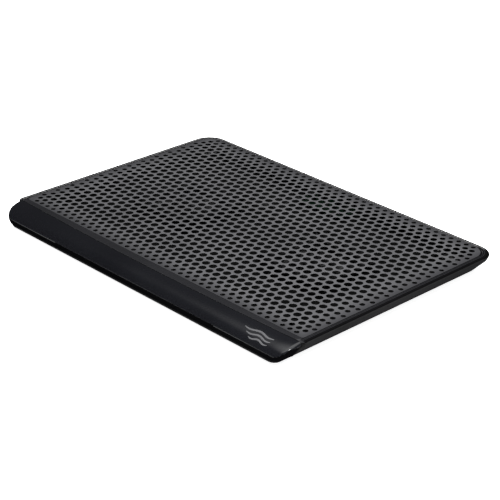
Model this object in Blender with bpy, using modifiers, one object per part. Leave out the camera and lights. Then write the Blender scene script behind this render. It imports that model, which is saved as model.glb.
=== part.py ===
"""Laptop cooling pad: a perforated rest plate in a slim tray with two fans under it.

Metres, +Z up. X runs along the rounded front edge, -Y is the front, the origin is at the
centre of the footprint, on the surface that the pad stands on.
"""
import math

import bmesh
import bpy
from mathutils import Matrix, Vector

GAP = 0.0003                      # clearance between neighbouring pieces

# Overall envelope
HALF_WIDTH = 0.1920
FAR_Y = 0.1366
TOP_Z = 0.0208
BASE_Z = 0.003                    # underside of the lower shell, on its feet
FLOOR_TOP = 0.005
RIM_Z = 0.0176                    # underside of the top frame
WALL = 0.002

# Lower shell: the walls lean outward from the base to the rim
SIDE_LEAN = 0.0135
FAR_LEAN = 0.0030
SEAM_Y = -0.1163                  # back of the rounded front rail
FAR_CORNER = 0.0198
NEAR_CORNER = 0.003
TONGUE_Y = -0.1353
TONGUE_HALF = 0.1765

# Rest plate and its holes
PITCH = 0.0090
PLATE_THICK = 0.0006
PLATE_HALF = 0.185
PLATE_NEAR = -0.1098
PLATE_FAR = 0.1303
PLATE_CORNER = 0.0045
FRAME_LIP = 0.005                 # the ledge that carries the plate
HOLE_RADIUS = 0.0036
HOLE_FIELD = 0.0305               # radius of the open hole field above each fan
FIELD_Y = 0.0106                  # middle of the hole pattern
SCREW_SIDES = 10                  # sides of the plain round holes

# Corner gussets and posts of the top frame
GUSSET_REACH = 0.006              # how far a gusset passes its screw
GUSSET_OVERLAP = 0.003            # how far it goes under the plate's edge
POST_RADIUS = 0.0038

# Rounded front rail: a quarter ellipse
RAIL_CENTRE_Y = -0.1122
RAIL_DEPTH = 0.0244
RAIL_NOSE_Z = 0.0085              # height of the rail's foremost line
RAIL_HEIGHT = 0.0121
RAIL_FOOT = FLOOR_TOP + GAP
RAIL_FOOT_Y = -0.1359
RAIL_RIBS = (-0.12, 0.0, 0.12)
RAIL_SCREW_Z = 0.0115

# Air slots in the base, under each fan
SLOT_ROWS = 6                     # rows each side of the middle slot
SLOT_PITCH = 0.0050
SLOT_HALF = 0.00135
SLOT_FIELD = 0.033

# Fans
FAN_X = 0.0865
FAN_Y = FIELD_Y
FAN_HALF = 0.040
FAN_BORE = 0.038
FAN_LOW = FLOOR_TOP + GAP
FAN_HIGH = 0.0173
FAN_SCREW = 0.03575
MOUNT_RADIUS = 0.016
MOUNT_THICK = 0.0015
TUBE_RADIUS = 0.004
TUBE_BORE = 0.0028
TUBE_TOP = 0.0140
HUB_RADIUS = 0.017
HUB_LOW = 0.0075
HUB_TOP = 0.0168
HUB_WALL = 0.0012
BLADES = 7
BLADE_TIP = 0.0365
BLADE_CHORD = 0.0125
BLADE_PITCH = math.radians(38)
SHAFT_RADIUS = 0.001

# Fasteners, feet and electrics
SHANK = 0.0013
SCREW_HOLE = 0.0017
HEAD = 0.0027
SHELL_HEAD = (BASE_Z + 0.0002, BASE_Z + 0.0009)    # bottom and top of the heads under the shell
FAN_HEAD_THICK = 0.0018
RAIL_HEAD_THICK = 0.0015
BOARD_HEAD_THICK = 0.0013
FAN_SCREW_TIP = BASE_Z + 0.0005
SHELL_SCREW_TIP = RIM_Z - 0.0013
RAIL_SCREW_TIP = -0.0088
FOOT_ROUND = 0.0008
FOOT_SEAT = 0.0007                # depth of the recess that holds a foot
SHELL_SCREWS = [(0.153, 0.0985), (-0.153, 0.0985), (0.153, -0.093), (-0.153, -0.093)]
FEET = [(0.162, 0.1165), (-0.162, 0.1165), (0.162, -0.1205), (-0.162, -0.1205)]
FOOT_RADIUS = 0.007
BOARD_HALF = 0.030
BOARD_NEAR = 0.100
BOARD_FAR = 0.1255
BOARD_Z = 0.0083
BOARD_THICK = 0.0016
BOARD_SCREW_INSET = 0.006
BOARD_SCREW_X = BOARD_HALF - BOARD_SCREW_INSET
BOARD_SCREW_Y = BOARD_NEAR + BOARD_SCREW_INSET
BOSS_RADIUS = 0.003
INLET_X = -0.012
SWITCH_X = 0.012
SWITCH_TRAVEL = 0.003
PORT_LOW = BOARD_Z + BOARD_THICK + GAP
PORT_HIGH = PORT_LOW + 0.0042
INLET_HALF = 0.0039
INLET_NEAR = 0.1175
INLET_FAR = FAR_Y - 0.0038
INLET_SHEET = 0.0005              # thickness of the inlet's metal sleeve
SWITCH_HALF = 0.0045
SWITCH_NEAR = 0.1170
SWITCH_FAR = 0.1235
KNOB_HALF = 0.0016
KNOB_NEAR = 0.1205
KNOB_FAR = FAR_Y - 0.0002
PLUG_X = 0.0240
PLUG_HALF = 0.0022
PLUG_NEAR = 0.0962
PLUG_FAR = 0.0996


def clear_scene():
    for item in list(bpy.data.objects):
        bpy.data.objects.remove(item, do_unlink=True)


def new_collection(name):
    made = bpy.data.collections.new(name)
    bpy.context.scene.collection.children.link(made)
    return made


def make_material(name, colour, roughness, metallic=0.0):
    made = bpy.data.materials.new(name)
    made.use_nodes = True
    shader = made.node_tree.nodes["Principled BSDF"]
    shader.inputs["Base Color"].default_value = (*colour, 1.0)
    shader.inputs["Roughness"].default_value = roughness
    shader.inputs["Metallic"].default_value = metallic
    return made


def add_mesh(name, mesh, material=None):
    """Put a mesh in the scene, as a part if it has a material and as a cutter if not."""
    made = bpy.data.objects.new(name, mesh)
    if material is None:
        cutters.objects.link(made)
        made.hide_render = True
        made.display_type = "WIRE"
    else:
        parts.objects.link(made)
        mesh.materials.clear()
        mesh.materials.append(material)
    return made


def add_bmesh(name, bm, material=None):
    mesh = bpy.data.meshes.new(name)
    bm.to_mesh(mesh)
    bm.free()
    return add_mesh(name, mesh, material)


def cube_into(bm, low, high, turn=None):
    centre = (Vector(low) + Vector(high)) / 2
    size = Vector(high) - Vector(low)
    place = Matrix.Translation(centre) @ Matrix.Diagonal((*size, 1.0))
    bmesh.ops.create_cube(bm, size=1.0, matrix=place if turn is None else turn @ place)


def rod_into(bm, centre, radius, low, high, sides, turn=None):
    place = Matrix.Translation((centre[0], centre[1], (low + high) / 2))
    if turn is not None:
        place = turn @ place
    bmesh.ops.create_cone(bm, cap_ends=True, segments=sides, radius1=radius, radius2=radius,
                          depth=high - low, matrix=place)


def box(name, low, high, material=None):
    bm = bmesh.new()
    cube_into(bm, low, high)
    return add_bmesh(name, bm, material)


def rod(name, centre, radius, low, high, sides, material=None):
    bm = bmesh.new()
    rod_into(bm, centre, radius, low, high, sides)
    return add_bmesh(name, bm, material)


def turned(name, profile, steps, material=None):
    """Turn a profile of (radius, height) points round the Z axis, outer side top to bottom."""
    mesh = bpy.data.meshes.new(name)
    closed = profile[0][0] > 0 or profile[-1][0] > 0
    edges = [(i, i + 1) for i in range(len(profile) - 1)]
    if closed:
        edges.append((len(profile) - 1, 0))
    mesh.from_pydata([(radius, 0.0, height) for radius, height in profile], edges, [])
    made = add_mesh(name, mesh, material)
    screw = made.modifiers.new("Turn", "SCREW")
    screw.steps = steps
    screw.render_steps = steps
    screw.use_merge_vertices = True
    screw.merge_threshold = 0.00001
    return made


def settle(made, sharp=35):
    """Apply the modifiers of an object to its mesh."""
    evaluated = made.evaluated_get(bpy.context.evaluated_depsgraph_get())
    mesh = bpy.data.meshes.new_from_object(evaluated)
    made.modifiers.clear()
    made.data = mesh
    bm = bmesh.new()
    bm.from_mesh(mesh)
    bmesh.ops.recalc_face_normals(bm, faces=bm.faces)
    bm.to_mesh(mesh)
    bm.free()
    mesh.shade_smooth()
    mesh.set_sharp_from_angle(angle=math.radians(sharp))
    return made


def rounded_outline(half, near, far, near_radius, far_radius, steps=5):
    """Rectangle with rounded corners, the far pair and the near pair each with a radius."""
    corners = [(half - near_radius, near + near_radius, near_radius, -90),
               (half - far_radius, far - far_radius, far_radius, 0),
               (-half + far_radius, far - far_radius, far_radius, 90),
               (-half + near_radius, near + near_radius, near_radius, 180)]
    points = []
    for x, y, radius, start in corners:
        for step in range(steps + 1):
            angle = math.radians(start + 90 * step / steps)
            points.append((x + radius * math.cos(angle), y + radius * math.sin(angle)))
    return points


def extruded(name, outline, low, high, material=None, frame=None):
    """Flat outline made solid between two heights, then set in place by a matrix."""
    curve = bpy.data.curves.new(name, "CURVE")
    curve.dimensions = "2D"
    curve.fill_mode = "BOTH"
    curve.extrude = (high - low) / 2
    spline = curve.splines.new("POLY")
    spline.points.add(len(outline) - 1)
    for point, (x, y) in zip(spline.points, outline):
        point.co = (x, y, 0.0, 1.0)
    spline.use_cyclic_u = True
    drawn = bpy.data.objects.new(name + ".outline", curve)
    cutters.objects.link(drawn)
    drawn.location.z = (high + low) / 2
    bpy.context.view_layer.update()
    evaluated = drawn.evaluated_get(bpy.context.evaluated_depsgraph_get())
    mesh = bpy.data.meshes.new_from_object(evaluated)
    mesh.name = name
    mesh.transform(drawn.matrix_world)
    if frame is not None:
        mesh.transform(frame)
    bpy.data.objects.remove(drawn, do_unlink=True)
    bm = bmesh.new()
    bm.from_mesh(mesh)
    bmesh.ops.remove_doubles(bm, verts=bm.verts, dist=0.00001)
    bmesh.ops.recalc_face_normals(bm, faces=bm.faces)
    bm.to_mesh(mesh)
    bm.free()
    return add_mesh(name, mesh, material)


def boolean(target, tool, operation):
    step = target.modifiers.new(operation.title(), "BOOLEAN")
    step.operation = operation
    step.object = tool
    step.solver = "EXACT"


def cut(target, tool):
    boolean(target, tool, "DIFFERENCE")


def join(target, tool):
    boolean(target, tool, "UNION")


def copy_of(made, name, shift):
    twin = made.copy()
    twin.name = name
    parts.objects.link(twin)
    twin.location = Vector(made.location) + Vector(shift)
    return twin


def shell_outline(height, inset):
    """Outline of the leaning lower shell at a height, drawn in by an inset."""
    lean = (height - BASE_Z) / (RIM_Z - GAP - BASE_Z)
    half = HALF_WIDTH - SIDE_LEAN * (1 - lean) - inset
    far = FAR_Y - FAR_LEAN * (1 - lean) - inset
    return rounded_outline(half, SEAM_Y + inset, far, NEAR_CORNER, FAR_CORNER - inset)


def leaning_block(name, low, high, inset, material=None):
    """Loft between the shell's outlines at two heights."""
    bm = bmesh.new()
    base = bm.faces.new([bm.verts.new((x, y, low)) for x, y in shell_outline(low, inset)])
    upper = bmesh.ops.extrude_face_region(bm, geom=[base])
    raised = [item for item in upper["geom"] if isinstance(item, bmesh.types.BMVert)]
    lower = [(Vector((x, y)), index) for index, (x, y) in enumerate(shell_outline(low, inset))]
    target = shell_outline(high, inset)
    for vert in raised:
        nearest = min(lower, key=lambda entry: (entry[0] - vert.co.xy).length)
        vert.co = (*target[nearest[1]], high)
    bmesh.ops.recalc_face_normals(bm, faces=bm.faces)
    return add_bmesh(name, bm, material)


def make_lower_shell():
    shell = leaning_block("lower_shell", BASE_Z, RIM_Z - GAP, 0.0, dark_plastic)
    cut(shell, leaning_block("shell_hollow", FLOOR_TOP, RIM_Z + 0.001, WALL))
    join(shell, box("shell_tongue", (-TONGUE_HALF, TONGUE_Y, BASE_Z),
                    (TONGUE_HALF, SEAM_Y + WALL / 2, FLOOR_TOP)))
    bosses = bmesh.new()
    for x in (-BOARD_SCREW_X, BOARD_SCREW_X):
        rod_into(bosses, (x, BOARD_SCREW_Y), BOSS_RADIUS, FLOOR_TOP - 0.001, BOARD_Z - GAP,
                 SCREW_SIDES)
    join(shell, add_bmesh("board_bosses", bosses))
    holes = bmesh.new()
    for x in (-BOARD_SCREW_X, BOARD_SCREW_X):
        rod_into(holes, (x, BOARD_SCREW_Y), SCREW_HOLE, FLOOR_TOP + 0.0005, TOP_Z, SCREW_SIDES)
    for x, y in SHELL_SCREWS:
        rod_into(holes, (x, y), HEAD + GAP, BASE_Z - 0.001, BASE_Z + 0.0012, 12)
    for x, y in FEET:
        rod_into(holes, (x, y), FOOT_RADIUS + GAP, BASE_Z - 0.001, BASE_Z + 0.001, 20)
    cut(shell, add_bmesh("shell_recesses", holes))
    ways = bmesh.new()
    for x, y in SHELL_SCREWS:
        rod_into(ways, (x, y), SCREW_HOLE, BASE_Z, TOP_Z, SCREW_SIDES)
    for side in (-1, 1):
        for dx in (-FAN_SCREW, FAN_SCREW):
            for dy in (-FAN_SCREW, FAN_SCREW):
                rod_into(ways, (side * FAN_X + dx, FAN_Y + dy), SCREW_HOLE,
                         BASE_Z - 0.001, TOP_Z, SCREW_SIDES)
        for row in range(-SLOT_ROWS, SLOT_ROWS + 1):
            y = FAN_Y + row * SLOT_PITCH
            half = math.sqrt(SLOT_FIELD ** 2 - (row * SLOT_PITCH) ** 2)
            cube_into(ways, (side * FAN_X - half, y - SLOT_HALF, BASE_Z - 0.001),
                      (side * FAN_X + half, y + SLOT_HALF, FLOOR_TOP + 0.001))
    flip = Matrix.Rotation(math.radians(90), 4, "X")
    for x in RAIL_RIBS:
        rod_into(ways, (x, RAIL_SCREW_Z), SCREW_HOLE, -SEAM_Y - 0.006, -SEAM_Y + 0.001,
                 SCREW_SIDES, flip)
    cube_into(ways, (INLET_X - 0.0045, BOARD_FAR - 0.001, PORT_LOW - GAP),
              (INLET_X + 0.0045, FAR_Y + 0.001, PORT_HIGH + GAP))
    cube_into(ways, (SWITCH_X - 0.0035, BOARD_FAR - 0.001, PORT_LOW + 0.0006),
              (SWITCH_X + 0.0035, FAR_Y + 0.001, PORT_HIGH - 0.0006))
    cut(shell, add_bmesh("shell_ways", ways))
    return settle(shell)


def make_top_frame():
    outline = rounded_outline(HALF_WIDTH, SEAM_Y, FAR_Y, 0.0012, FAR_CORNER)
    frame = extruded("top_frame", outline, RIM_Z, TOP_Z, gloss_plastic)
    seat = rounded_outline(PLATE_HALF + GAP, PLATE_NEAR - GAP, PLATE_FAR + GAP,
                           PLATE_CORNER, FAR_CORNER - 0.003)
    cut(frame, extruded("plate_seat", seat, TOP_Z - PLATE_THICK - GAP, TOP_Z + 0.001))
    window = rounded_outline(PLATE_HALF - FRAME_LIP, PLATE_NEAR + FRAME_LIP,
                             PLATE_FAR - FRAME_LIP, 0.004, 0.010)
    cut(frame, extruded("frame_window", window, RIM_Z - 0.001, TOP_Z + 0.001))
    gussets = bmesh.new()
    for x, y in SHELL_SCREWS:
        side = math.copysign(1, x)
        end = math.copysign(1, y)
        across = (x - side * GUSSET_REACH, side * (PLATE_HALF - GUSSET_OVERLAP))
        edge_y = PLATE_FAR - GUSSET_OVERLAP if end > 0 else PLATE_NEAR + GUSSET_OVERLAP
        along = (y - end * GUSSET_REACH, edge_y)
        cube_into(gussets, (min(across), min(along), RIM_Z + GAP),
                  (max(across), max(along), TOP_Z - PLATE_THICK - GAP - 0.0001))
    join(frame, add_bmesh("corner_gussets", gussets))
    posts = bmesh.new()
    for x, y in SHELL_SCREWS:
        rod_into(posts, (x, y), POST_RADIUS, FLOOR_TOP + GAP, RIM_Z + 0.001, 14)
    join(frame, add_bmesh("corner_posts", posts))
    threads = bmesh.new()
    for x, y in SHELL_SCREWS:
        rod_into(threads, (x, y), SCREW_HOLE, FLOOR_TOP - 0.001, RIM_Z - 0.001, SCREW_SIDES)
    cut(frame, add_bmesh("post_threads", threads))
    return settle(frame)


def hole_columns(row):
    """X positions of one row of holes: alternate rows are set half a pitch across."""
    shift = 0.5 if row % 2 == 0 else 0.0
    return [(column + shift) * PITCH for column in range(-20, 21)]


def make_plate():
    outline = rounded_outline(PLATE_HALF, PLATE_NEAR, PLATE_FAR, PLATE_CORNER, FAR_CORNER - 0.003)
    plate = extruded("perforated_plate", outline, TOP_Z - PLATE_THICK, TOP_Z, plate_steel)
    holes = bmesh.new()
    for row in range(-14, 14):
        y = FIELD_Y + (row + 0.5) * PITCH
        for x in hole_columns(row):
            if math.hypot(abs(x) - FAN_X, y - FAN_Y) < HOLE_FIELD:
                rod_into(holes, (x, y), HOLE_RADIUS, TOP_Z - 0.002, TOP_Z + 0.001, 8)
    cut(plate, add_bmesh("plate_holes", holes))
    return settle(plate)


def make_front_rail():
    profile = []
    start = math.asin((RAIL_CENTRE_Y - SEAM_Y + GAP) / RAIL_DEPTH)
    for step in range(11):
        angle = start + (math.pi / 2 - start) * step / 10
        profile.append((RAIL_CENTRE_Y - RAIL_DEPTH * math.sin(angle),
                        RAIL_NOSE_Z + RAIL_HEIGHT * math.cos(angle)))
    profile.append((RAIL_FOOT_Y, RAIL_FOOT))
    profile.append((SEAM_Y - GAP, RAIL_FOOT))
    stand = Matrix(((0, 0, 1, 0), (1, 0, 0, 0), (0, 1, 0, 0), (0, 0, 0, 1)))
    rail = extruded("front_rail", profile, -HALF_WIDTH, HALF_WIDTH, dark_plastic, stand)
    flip = Matrix.Rotation(math.radians(90), 4, "X")
    for side in (-1, 1):
        lean = SIDE_LEAN / (RIM_Z - BASE_Z)
        wedge = [(side * HALF_WIDTH, RIM_Z), (side * 0.2, RIM_Z), (side * 0.2, 0.0),
                 (side * (HALF_WIDTH - lean * RIM_Z), 0.0)]
        cut(rail, extruded("rail_end", wedge, 0.1, 0.15, None, flip))
    pockets = bmesh.new()
    stops = [-0.170] + [x for rib in RAIL_RIBS for x in (rib - 0.006, rib + 0.006)] + [0.170]
    for low, high in zip(stops[::2], stops[1::2]):
        cube_into(pockets, (low, SEAM_Y - 0.0075, RAIL_FOOT + WALL), (high, SEAM_Y + 0.001, 0.0160))
    for x in RAIL_RIBS:
        rod_into(pockets, (x, RAIL_SCREW_Z), SCREW_HOLE, -SEAM_Y - 0.001, -SEAM_Y + 0.008,
                 SCREW_SIDES, flip)
    cut(rail, add_bmesh("rail_pockets", pockets))
    return settle(rail)


def make_fan_frame():
    frame = box("left_fan_frame", (-FAN_HALF, -FAN_HALF, FAN_LOW), (FAN_HALF, FAN_HALF, FAN_HIGH),
                fan_plastic)
    cut(frame, rod("fan_bore", (0, 0), FAN_BORE, FAN_LOW - 0.001, FAN_HIGH + 0.001, 40))
    arms = bmesh.new()
    for index in range(4):
        turn = Matrix.Rotation(math.radians(20 + 90 * index), 4, "Z")
        cube_into(arms, (0.010, -0.0018, FAN_LOW), (FAN_BORE + 0.001, 0.0018, FAN_LOW + MOUNT_THICK),
                  turn)
    join(frame, add_bmesh("fan_arms", arms))
    join(frame, rod("fan_mount", (0, 0), MOUNT_RADIUS, FAN_LOW, FAN_LOW + MOUNT_THICK - 0.0001, 24))
    join(frame, rod("fan_tube", (0, 0), TUBE_RADIUS, FAN_LOW + 0.0005, TUBE_TOP, 16))
    ways = bmesh.new()
    rod_into(ways, (0, 0), TUBE_BORE, FAN_LOW + 0.0006, TUBE_TOP + 0.001, 16)
    for x in (-FAN_SCREW, FAN_SCREW):
        for y in (-FAN_SCREW, FAN_SCREW):
            rod_into(ways, (x, y), SCREW_HOLE, FAN_LOW - 0.001, FAN_HIGH + 0.001, SCREW_SIDES)
    cut(frame, add_bmesh("fan_ways", ways))
    return settle(frame)


def make_impeller():
    boss = 0.003
    under = HUB_TOP - HUB_WALL
    profile = [(0, HUB_TOP), (HUB_RADIUS - 0.001, HUB_TOP), (HUB_RADIUS, HUB_TOP - 0.001),
               (HUB_RADIUS, HUB_LOW), (HUB_RADIUS - HUB_WALL, HUB_LOW),
               (HUB_RADIUS - HUB_WALL, under), (boss, under), (boss, TUBE_TOP + GAP),
               (SHAFT_RADIUS + GAP, TUBE_TOP + GAP), (SHAFT_RADIUS + GAP, under), (0, under)]
    impeller = turned("left_impeller", profile, 24, fan_plastic)
    blades = bmesh.new()
    middle = (HUB_LOW + HUB_TOP) / 2 - 0.0004
    for index in range(BLADES):
        spin = Matrix.Rotation(2 * math.pi * index / BLADES, 4, "Z")
        pitch = Matrix.Translation((0, 0, middle)) @ Matrix.Rotation(BLADE_PITCH, 4, "X")
        cube_into(blades, (HUB_RADIUS - HUB_WALL / 2, -BLADE_CHORD / 2, -0.0006),
                  (BLADE_TIP, BLADE_CHORD / 2, 0.0006), spin @ pitch)
    join(impeller, add_bmesh("fan_blades", blades))
    return settle(impeller)


def ring_profile(outer, inner, low, high):
    return [(outer, high), (outer, low), (inner, low), (inner, high)]


def make_stator():
    low = FAN_LOW + MOUNT_THICK + GAP
    stator = rod("left_stator", (0, 0), 0.0075, low, 0.0138, 16, copper)
    poles = bmesh.new()
    shoes = bmesh.new()
    for index in range(4):
        spin = Matrix.Rotation(math.radians(90 * index), 4, "Z")
        cube_into(poles, (0.005, -0.0026, low + 0.001), (0.0115, 0.0026, 0.0128), spin)
        cube_into(shoes, (0.0108, -0.0052, low + 0.0008), (0.0123, 0.0052, 0.0130), spin)
    join(stator, add_bmesh("stator_poles", poles))
    join(stator, add_bmesh("stator_shoes", shoes))
    cut(stator, rod("stator_bore", (0, 0), TUBE_RADIUS + GAP, low - 0.001, 0.015, 16))
    return settle(stator)


def fan_lead(side):
    """Two-wire lead from the fan's corner to its plug on the board, as one round tube."""
    route = [(0.0530, FAN_Y + FAN_HALF + 0.0006, 0.0090), (0.0520, 0.0585, 0.0086),
             (0.0480, 0.0665, 0.0070), (0.0420, 0.0735, 0.0066), (0.0350, 0.0790, 0.0072),
             (0.0290, 0.0845, 0.0092), (0.0250, 0.0900, 0.0115), (0.0240, 0.0957, 0.0127)]
    name = "left_fan_lead" if side < 0 else "right_fan_lead"
    curve = bpy.data.curves.new(name, "CURVE")
    curve.dimensions = "3D"
    curve.bevel_depth = 0.0009
    curve.bevel_resolution = 2
    curve.use_fill_caps = True
    spline = curve.splines.new("POLY")
    spline.points.add(len(route) - 1)
    for point, (x, y, z) in zip(spline.points, route):
        point.co = (side * x, y, z, 1.0)
    lead = bpy.data.objects.new(name, curve)
    parts.objects.link(lead)
    curve.materials.append(lead_rubber)
    return lead


def screw_profile(head_low, head_high, tip, upward):
    """Pan head on a round shank: upward puts the head at the bottom and the tip on top."""
    if upward:
        return [(0, tip), (SHANK, tip), (SHANK, head_high), (HEAD, head_high), (HEAD, head_low),
                (0, head_low)]
    return [(0, head_high), (HEAD * 0.8, head_high), (HEAD, head_low + 0.0006), (HEAD, head_low),
            (SHANK, head_low), (SHANK, tip), (0, tip)]


def make_fans():
    frame = make_fan_frame()
    impeller = make_impeller()
    shaft = rod("left_shaft", (0, 0), SHAFT_RADIUS, FAN_LOW + 0.001, HUB_TOP - HUB_WALL - GAP, 12,
                steel)
    bearing = turned("left_bearing", ring_profile(TUBE_BORE - GAP, SHAFT_RADIUS + GAP,
                                                  FAN_LOW + 0.001, TUBE_TOP - GAP), 16, brass)
    magnet = turned("left_magnet_ring", ring_profile(HUB_RADIUS - HUB_WALL - GAP, 0.0136,
                                                     HUB_LOW + 0.001, 0.0138), 24, magnet_grey)
    stator = make_stator()
    for made in (frame, impeller, shaft, settle(bearing), settle(magnet), stator):
        made.location = (-FAN_X, FAN_Y, 0)
        copy_of(made, made.name.replace("left", "right"), (2 * FAN_X, 0, 0))
    screw = settle(turned("left_fan_screw_1", screw_profile(
        FAN_HIGH + GAP, FAN_HIGH + GAP + FAN_HEAD_THICK, FAN_SCREW_TIP, False), 12, steel))
    corners = ((-1, -1), (1, -1), (1, 1), (-1, 1))
    places = [(f"{label}_fan_screw_{number}",
               Vector((side * FAN_X + dx * FAN_SCREW, FAN_Y + dy * FAN_SCREW, 0)))
              for side, label in ((-1, "left"), (1, "right"))
              for number, (dx, dy) in enumerate(corners, 1)]
    screw.location = places[0][1]
    for name, place in places[1:]:
        copy_of(screw, name, place - screw.location)
    for side in (-1, 1):
        fan_lead(side)


def make_fasteners():
    screw = settle(turned("shell_screw_1", screw_profile(*SHELL_HEAD, SHELL_SCREW_TIP, True), 12,
                          steel))
    screw.location = (*SHELL_SCREWS[0], 0)
    for number, (x, y) in enumerate(SHELL_SCREWS[1:], 2):
        copy_of(screw, f"shell_screw_{number}", Vector((x, y, 0)) - screw.location)
    inner = SEAM_Y + WALL + GAP
    pin = settle(turned("rail_screw_1", screw_profile(
        0.0, RAIL_HEAD_THICK, RAIL_SCREW_TIP, False), 12, steel))
    pin.data.transform(Matrix.Rotation(math.radians(-90), 4, "X"))
    pin.location = (RAIL_RIBS[0], inner, RAIL_SCREW_Z)
    for number, x in enumerate(RAIL_RIBS[1:], 2):
        copy_of(pin, f"rail_screw_{number}", Vector((x, inner, RAIL_SCREW_Z)) - pin.location)
    top = BOARD_Z + BOARD_THICK
    stub = settle(turned("board_screw_1", screw_profile(
        top + GAP, top + GAP + BOARD_HEAD_THICK, FLOOR_TOP + 0.001, False), 12, steel))
    stub.location = (-BOARD_SCREW_X, BOARD_SCREW_Y, 0)
    copy_of(stub, "board_screw_2", (2 * BOARD_SCREW_X, 0, 0))


def make_feet():
    top = BASE_Z + FOOT_SEAT
    profile = [(0, top), (FOOT_RADIUS, top), (FOOT_RADIUS, FOOT_ROUND),
               (FOOT_RADIUS - FOOT_ROUND, 0), (0, 0)]
    foot = settle(turned("foot_1", profile, 20, rubber))
    foot.location = (*FEET[0], 0)
    for number, (x, y) in enumerate(FEET[1:], 2):
        copy_of(foot, f"foot_{number}", Vector((x, y, 0)) - foot.location)


def make_electrics():
    board = box("power_board", (-BOARD_HALF, BOARD_NEAR, BOARD_Z),
                (BOARD_HALF, BOARD_FAR, BOARD_Z + BOARD_THICK), board_green)
    holes = bmesh.new()
    for x in (-BOARD_SCREW_X, BOARD_SCREW_X):
        rod_into(holes, (x, BOARD_SCREW_Y), SCREW_HOLE, BOARD_Z - 0.001, BOARD_Z + 0.003,
                 SCREW_SIDES)
    cut(board, add_bmesh("board_holes", holes))
    settle(board)
    inlet = box("power_inlet", (INLET_X - INLET_HALF, INLET_NEAR, PORT_LOW),
                (INLET_X + INLET_HALF, INLET_FAR, PORT_HIGH), steel)
    mouth = INLET_HALF - INLET_SHEET
    cut(inlet, box("inlet_mouth", (INLET_X - mouth, INLET_NEAR + 0.006, PORT_LOW + INLET_SHEET),
                   (INLET_X + mouth, INLET_FAR + 0.001, PORT_HIGH - INLET_SHEET)))
    tongue = mouth - 0.0012
    join(inlet, box("inlet_tongue", (INLET_X - tongue, INLET_NEAR + 0.005, PORT_LOW + 0.0016),
                    (INLET_X + tongue, INLET_FAR - 0.0013, PORT_LOW + 0.0024)))
    settle(inlet)
    switch = box("switch_body", (SWITCH_X - SWITCH_HALF, SWITCH_NEAR, PORT_LOW),
                 (SWITCH_X + SWITCH_HALF, SWITCH_FAR, PORT_HIGH), steel)
    slot = SWITCH_HALF - 0.0009
    cut(switch, box("switch_slot", (SWITCH_X - slot, SWITCH_NEAR + 0.0025, PORT_LOW + 0.0008),
                    (SWITCH_X + slot, SWITCH_FAR + 0.001, PORT_HIGH - 0.0008)))
    settle(switch)
    knob_x = SWITCH_X - SWITCH_TRAVEL / 2
    knob = box("switch_knob", (knob_x - KNOB_HALF, KNOB_NEAR, PORT_LOW + 0.0012),
               (knob_x + KNOB_HALF, KNOB_FAR, PORT_HIGH - 0.0012), gloss_plastic)
    settle(knob)
    for side, label in ((-1, "left"), (1, "right")):
        box(f"{label}_lead_plug", (side * PLUG_X - PLUG_HALF, PLUG_NEAR, BOARD_Z + 0.0030),
            (side * PLUG_X + PLUG_HALF, PLUG_FAR, BOARD_Z + 0.0058), lead_rubber)


clear_scene()
parts = new_collection("laptop_cooling_pad")
cutters = new_collection("cutters")
plate_steel = make_material("plate_steel", (0.09, 0.09, 0.10), 0.45, 0.4)
gloss_plastic = make_material("gloss_plastic", (0.010, 0.010, 0.012), 0.18)
dark_plastic = make_material("dark_plastic", (0.025, 0.025, 0.028), 0.45)
fan_plastic = make_material("fan_plastic", (0.012, 0.012, 0.012), 0.50)
steel = make_material("steel", (0.55, 0.55, 0.56), 0.35, 1.0)
brass = make_material("brass", (0.60, 0.42, 0.20), 0.40, 1.0)
copper = make_material("copper", (0.55, 0.22, 0.10), 0.45, 0.8)
magnet_grey = make_material("magnet_grey", (0.05, 0.05, 0.05), 0.6)
rubber = make_material("rubber", (0.02, 0.02, 0.02), 0.85)
board_green = make_material("board_green", (0.02, 0.10, 0.04), 0.5)
lead_rubber = make_material("lead_rubber", (0.015, 0.015, 0.015), 0.6)
make_plate()
make_top_frame()
make_front_rail()
make_lower_shell()
make_fans()
make_fasteners()
make_feet()
make_electrics()
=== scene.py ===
import math

import bmesh
import bpy
from mathutils import Matrix, Vector


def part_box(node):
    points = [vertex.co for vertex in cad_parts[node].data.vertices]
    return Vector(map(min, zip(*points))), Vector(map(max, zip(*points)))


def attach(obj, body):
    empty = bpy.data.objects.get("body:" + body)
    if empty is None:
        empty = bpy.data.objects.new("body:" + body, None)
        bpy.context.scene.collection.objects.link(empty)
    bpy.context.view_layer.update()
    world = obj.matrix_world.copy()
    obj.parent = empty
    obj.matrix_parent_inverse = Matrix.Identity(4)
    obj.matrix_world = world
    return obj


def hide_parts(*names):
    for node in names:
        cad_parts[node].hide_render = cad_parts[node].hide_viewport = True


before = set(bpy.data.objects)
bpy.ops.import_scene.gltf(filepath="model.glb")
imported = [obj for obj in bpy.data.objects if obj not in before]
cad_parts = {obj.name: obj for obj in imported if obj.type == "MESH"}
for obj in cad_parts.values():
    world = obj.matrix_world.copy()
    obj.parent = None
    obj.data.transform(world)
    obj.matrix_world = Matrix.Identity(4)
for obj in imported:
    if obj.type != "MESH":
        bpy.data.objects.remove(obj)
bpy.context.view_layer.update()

print("frame loaded:", len(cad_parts), "nodes")

mm = 0.001
plateLow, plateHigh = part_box("perforated_plate")
frameLow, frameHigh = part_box("top_frame")
railLow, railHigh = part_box("front_rail")
shellLow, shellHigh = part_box("lower_shell")
fanLow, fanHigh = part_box("right_fan_frame")
topZ = plateHigh.z
seamY = frameLow.y                       # where the flat strip meets the rounded rail
rimZ = shellHigh.z + 0.3 * mm            # underside of the frame's rim
fanX = (fanLow.x + fanHigh.x) / 2
fanY = (fanLow.y + fanHigh.y) / 2
plateMiddleY = 10.6 * mm                 # middle row of the hole field


# helpers shared by the pieces

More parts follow.
